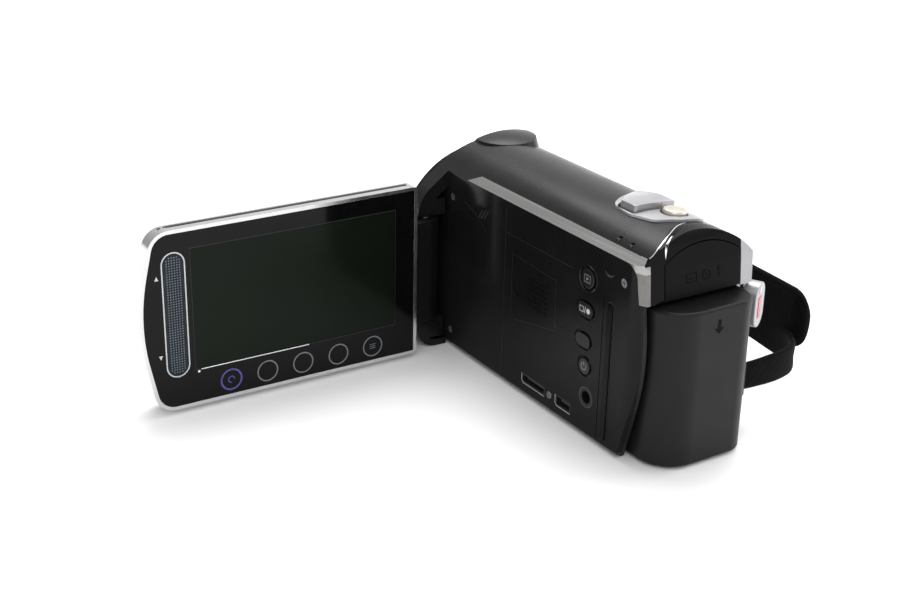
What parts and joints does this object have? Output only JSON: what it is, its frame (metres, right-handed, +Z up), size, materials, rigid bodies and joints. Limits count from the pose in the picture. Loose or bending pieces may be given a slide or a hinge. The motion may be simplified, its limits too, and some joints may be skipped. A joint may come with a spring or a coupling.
{
  "type": "camcorder",
  "caption": "Compact camcorder with a swing-out tilting screen, rear battery pack, top controls, keyed side bay and a padded hand strap.",
  "frame": {"origin": "centre of the tripod socket's mouth, on the flat underside", "axes": "+Z up, the lens looks along -Y, the screen stands open towards +X and the hand strap is on the -X side"},
  "size_m": [0.1689, 0.1117, 0.0627],
  "materials": {
    "charcoal": "satin moulded plastic",
    "bay_black": "gloss black moulded plastic",
    "flank_black": "fine textured plastic",
    "silver_trim": "brushed with a polished edge",
    "silver_paint": "satin silver paint",
    "bezel_silver": "bright satin silver",
    "front_black": "piano black",
    "ring_metal": "turned and anodised",
    "barrel_black": "matt anti-reflection black",
    "optical_glass": "coated glass",
    "lamp_window": "frosted lens",
    "board_green": "solder-masked board",
    "steel": "plated steel",
    "jack_black": "moulded insert",
    "brass_nut": "nickel-washed brass",
    "key_black": "satin key with light mark",
    "snap_silver": "pale champagne paint",
    "light_pipe": "smoked light pipe",
    "panel_silver": "satin chrome plated frame",
    "panel_dark": "gloss dark shell",
    "pearl": "pearl light grey",
    "panel_glass": "black-backed glass",
    "display": "dark display, unlit",
    "hinge_black": "satin black plastic",
    "battery_grey": "fine spark-eroded texture",
    "cell_wrap": "shrink wrap",
    "strap_fabric": "brushed black fabric over foam",
    "web_fabric": "woven black webbing"
  },
  "bodies": {
    "camera": {"bay_trim": "silver_trim", "roof_shell": "charcoal", "front_shoulder": "charcoal", "right_casing": "flank_black", "base_plate": "flank_black", "rear_frame": "flank_black", "rear_band": "front_black", "rear_cap": "charcoal", "side_trim": "silver_paint", "bay_wall": "bay_black", "front_bezel": "bezel_silver", "front_panel": "front_black", "lens_ring": "ring_metal", "lens_barrel": "barrel_black", "lens_glass": "optical_glass", "video_lamp": "lamp_window", "image_sensor": "board_green", "main_board": "board_green", "speaker": "barrel_black", "audio_jack": "jack_black", "signal_sockets": "steel", "card_socket": "steel", "terminal_block": "jack_black", "tripod_nut": "brass_nut", "case_screws": "steel", "speaker_grille": "bay_black", "bay_rib": "front_black", "control_plate": "silver_paint", "control_board": "jack_black", "status_lights": "light_pipe", "hinge_pins": "steel", "strap_pad": "strap_fabric", "strap_webbing": "web_fabric", "strap_lugs": "jack_black"},
    "hinge": {"hinge_block": "hinge_black"},
    "panel": {"panel_frame": "panel_silver", "panel_back": "panel_dark", "panel_end_cap": "pearl", "panel_glass": "panel_glass", "screen": "display", "panel_board": "board_green", "tilt_shaft": "steel"},
    "zoom_key": {"zoom_lever": "silver_paint"},
    "snapshot_key": {"snapshot_button": "snap_silver"},
    "record_key": {"record_button": "silver_paint"},
    "play_key": {"play_button": "key_black"},
    "mode_key": {"mode_button": "key_black"},
    "quick_key": {"quick_button": "key_black"},
    "power_key": {"power_button": "key_black"},
    "terminal_lid": {"terminal_cover": "charcoal"},
    "battery": {"battery_case": "battery_grey", "battery_cells": "cell_wrap"},
    "latch": {"battery_latch": "key_black"},
    "card_lid": {"card_door": "flank_black"},
    "cover_switch": {"cover_lever": "ring_metal"},
    "upper_blade": {"blade_upper": "barrel_black"},
    "lower_blade": {"blade_lower": "barrel_black"},
    "zoom_group": {"zoom_carrier": "barrel_black", "zoom_glass": "optical_glass"}
  },
  "joints": [
    {"name": "lcd_swing", "type": "hinge", "parent": "camera", "child": "hinge", "pos_m": [0.025, -0.0315, 0.0255], "axis": [0, 0, 1], "range_deg": [0, 90]},
    {"name": "lcd_tilt", "type": "hinge", "parent": "hinge", "child": "panel", "pos_m": [0.031, -0.02975, 0.0271], "axis": [1, 0, 0], "range_deg": [-90, 180]},
    {"name": "zoom_rock", "type": "hinge", "parent": "camera", "child": "zoom_key", "pos_m": [-0.00085, 0.0358, 0.0601], "axis": [-0.0698, 0, 0.9976], "range_deg": [-6, 6], "stiffness_Nm_per_rad": 0.02},
    {"name": "snapshot_press", "type": "slide", "parent": "camera", "child": "snapshot_key", "axis": [0.0698, 0, -0.9976], "range_m": [0, 0.0007], "stiffness_N_per_m": 1200, "springref_m": -0.0003},
    {"name": "record_press", "type": "slide", "parent": "camera", "child": "record_key", "axis": [0.5, -0.866, 0], "range_m": [0, 0.0007], "stiffness_N_per_m": 1200, "springref_m": -0.0003},
    {"name": "play_press", "type": "slide", "parent": "camera", "child": "play_key", "axis": [-1, 0, 0], "range_m": [0, 0.0004], "stiffness_N_per_m": 1200, "springref_m": -0.0003},
    {"name": "mode_press", "type": "slide", "parent": "camera", "child": "mode_key", "axis": [-1, 0, 0], "range_m": [0, 0.0004], "stiffness_N_per_m": 1200, "springref_m": -0.0003},
    {"name": "quick_press", "type": "slide", "parent": "camera", "child": "quick_key", "axis": [-1, 0, 0], "range_m": [0, 0.0004], "stiffness_N_per_m": 1200, "springref_m": -0.0003},
    {"name": "power_press", "type": "slide", "parent": "camera", "child": "power_key", "axis": [-1, 0, 0], "range_m": [0, 0.0004], "stiffness_N_per_m": 1200, "springref_m": -0.0003},
    {"name": "terminal_open", "type": "hinge", "parent": "camera", "child": "terminal_lid", "pos_m": [-0.002, 0.0582, 0.0449], "axis": [-1, 0, 0], "range_deg": [0, 85]},
    {"name": "battery_slide", "type": "slide", "parent": "camera", "child": "battery", "axis": [0, 1, 0], "range_m": [0, 0.02]},
    {"name": "latch_slide", "type": "slide", "parent": "camera", "child": "latch", "axis": [1, 0, 0], "range_m": [0, 0.003], "stiffness_N_per_m": 300, "springref_m": -0.001},
    {"name": "card_door_open", "type": "hinge", "parent": "camera", "child": "card_lid", "pos_m": [0, -0.0166, 0.0006], "axis": [1, 0, 0], "range_deg": [0, 90]},
    {"name": "lens_cover_switch", "type": "slide", "parent": "camera", "child": "cover_switch", "axis": [0, 0, 1], "range_m": [0, 0.0095]},
    {"name": "upper_blade_slide", "type": "slide", "parent": "camera", "child": "upper_blade", "axis": [0, 0, -1], "range_m": [0, 0.0095]},
    {"name": "lower_blade_slide", "type": "slide", "parent": "camera", "child": "lower_blade", "axis": [0, 0, 1], "range_m": [0, 0.0095]},
    {"name": "zoom_travel", "type": "slide", "parent": "camera", "child": "zoom_group", "axis": [0, 1, 0], "range_m": [0, 0.015]}
  ],
  "couplings": [
    {"joint": "upper_blade_slide", "follows": "lens_cover_switch", "ratio": 1},
    {"joint": "lower_blade_slide", "follows": "lens_cover_switch", "ratio": 1}
  ]
}
